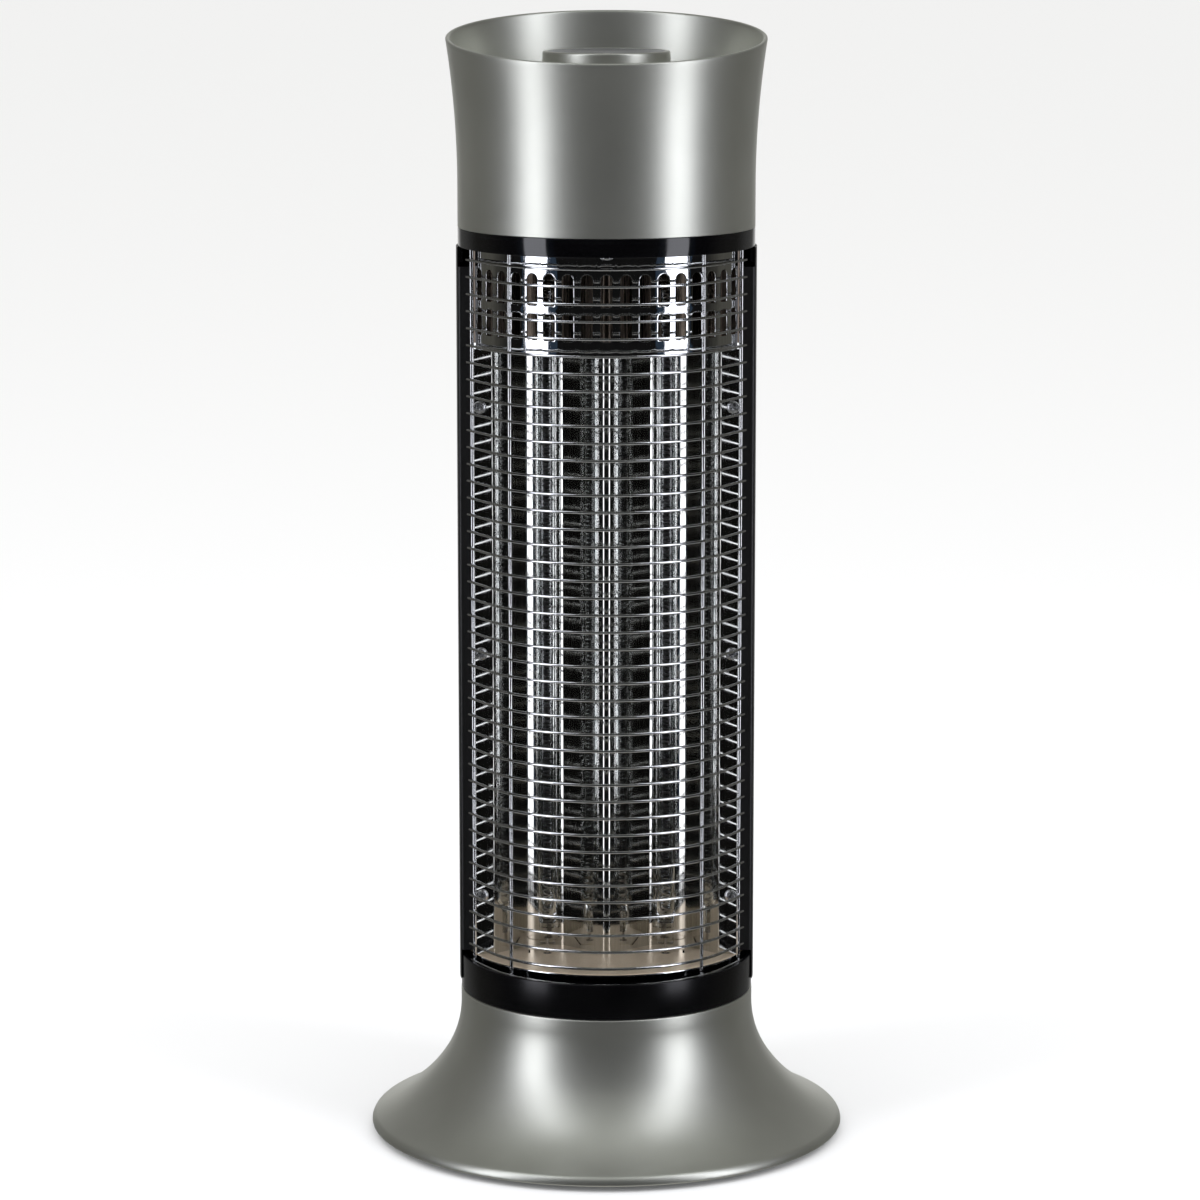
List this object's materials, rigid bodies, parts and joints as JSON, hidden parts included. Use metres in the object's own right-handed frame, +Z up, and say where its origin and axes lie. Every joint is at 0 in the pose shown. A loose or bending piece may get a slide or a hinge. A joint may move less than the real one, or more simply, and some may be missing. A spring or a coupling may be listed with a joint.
{
  "type": "oscillating carbon heater",
  "caption": "Tower heater: two quartz lamps in front of a bright trough reflector behind a wire guard, on a flared swinging base, with a knob in a flared head.",
  "frame": {"origin": "on the floor, under the axis about which the tower swings", "axes": "+Z up along the tower, -Y towards the front where the lamps shine"},
  "size_m": [0.2554, 0.2554, 0.5999],
  "materials": {
    "satin_silver": "satin metallic paint on moulded ABS",
    "gloss_black": "gloss black moulded ABS",
    "black_steel": "black powder coat on sheet steel",
    "chrome_wire": "bright chrome plate on steel wire",
    "bright_sheet": "bright rolled aluminium sheet",
    "steel_screw": "zinc-plated steel",
    "plate_steel": "zinc-plated steel sheet",
    "foot_rubber": "black rubber",
    "quartz": "clear fused quartz",
    "carbon": "wound carbon fibre",
    "lead_wire": "nickel wire",
    "motor_can": "plated can",
    "acetal": "natural acetal",
    "dark_plastic": "black moulded nylon",
    "switch_plastic": "cream moulded nylon",
    "cap_grey": "darker satin metallic paint",
    "sleeve": "braided glass sleeve",
    "spring_steel": "spring wire",
    "bush_ceramic": "pressed steatite"
  },
  "bodies": {
    "base": {"base_shell": "satin_silver", "base_plate": "plate_steel", "base_plate_screws": "steel_screw", "rubber_feet": "foot_rubber", "tilt_guide": "dark_plastic", "tilt_switch": "dark_plastic", "tilt_spring": "spring_steel", "cord_gland": "dark_plastic", "cord_clamp": "dark_plastic", "clamp_screws": "steel_screw", "terminal_block": "switch_plastic", "slip_washer": "acetal", "swing_motor": "motor_can", "motor_screws": "steel_screw", "base_harness": "sleeve"},
    "plunger": {"tilt_plunger": "acetal"},
    "pinion": {"motor_shaft": "steel_screw", "drive_pinion": "acetal"},
    "knob": {"knob": "satin_silver", "knob_cap": "cap_grey", "switch_shaft": "steel_screw"},
    "tower": {"bottom_plate": "bright_sheet", "cutout_rivets": "steel_screw", "element_left": "carbon", "element_right": "carbon", "element_springs": "lead_wire", "gear_screws": "steel_screw", "guard_uprights": "chrome_wire", "guard_wires": "chrome_wire", "head_screws": "steel_screw", "head_shell": "satin_silver", "housing_screws": "steel_screw", "lamp_bushes": "bush_ceramic", "lamp_tube_left": "quartz", "lamp_tube_right": "quartz", "lead_pins": "lead_wire", "lower_leads": "sleeve", "lower_ring": "gloss_black", "panel_screws": "steel_screw", "rear_housing": "black_steel", "reflector": "bright_sheet", "reflector_screws": "steel_screw", "rotary_switch": "switch_plastic", "swing_gear": "acetal", "switch_nut": "steel_screw", "thermal_cutout": "dark_plastic", "top_panel": "bright_sheet", "tower_harness": "sleeve", "upper_leads": "sleeve", "upper_ring": "gloss_black"}
  },
  "joints": [
    {"name": "tower_swing", "type": "hinge", "parent": "base", "child": "tower", "pos_m": [0, 0, 0.0785], "axis": [0, 0, 1], "range_deg": [-35, 35]},
    {"name": "pinion_spin", "type": "hinge", "parent": "base", "child": "pinion", "pos_m": [-0.0525, 0, 0.0627], "axis": [0, 0, 1], "range_deg": [-141, 141]},
    {"name": "knob_turn", "type": "hinge", "parent": "tower", "child": "knob", "pos_m": [0, 0, 0.552], "axis": [0, 0, -1], "range_deg": [0, 180]},
    {"name": "tilt_slide", "type": "slide", "parent": "base", "child": "plunger", "axis": [0, 0, -1], "range_m": [0, 0.006], "stiffness_N_per_m": 60, "springref_m": 0.012, "deforming": ["tilt_spring"]}
  ],
  "couplings": [
    {"joint": "pinion_spin", "follows": "tower_swing", "ratio": -4}
  ]
}
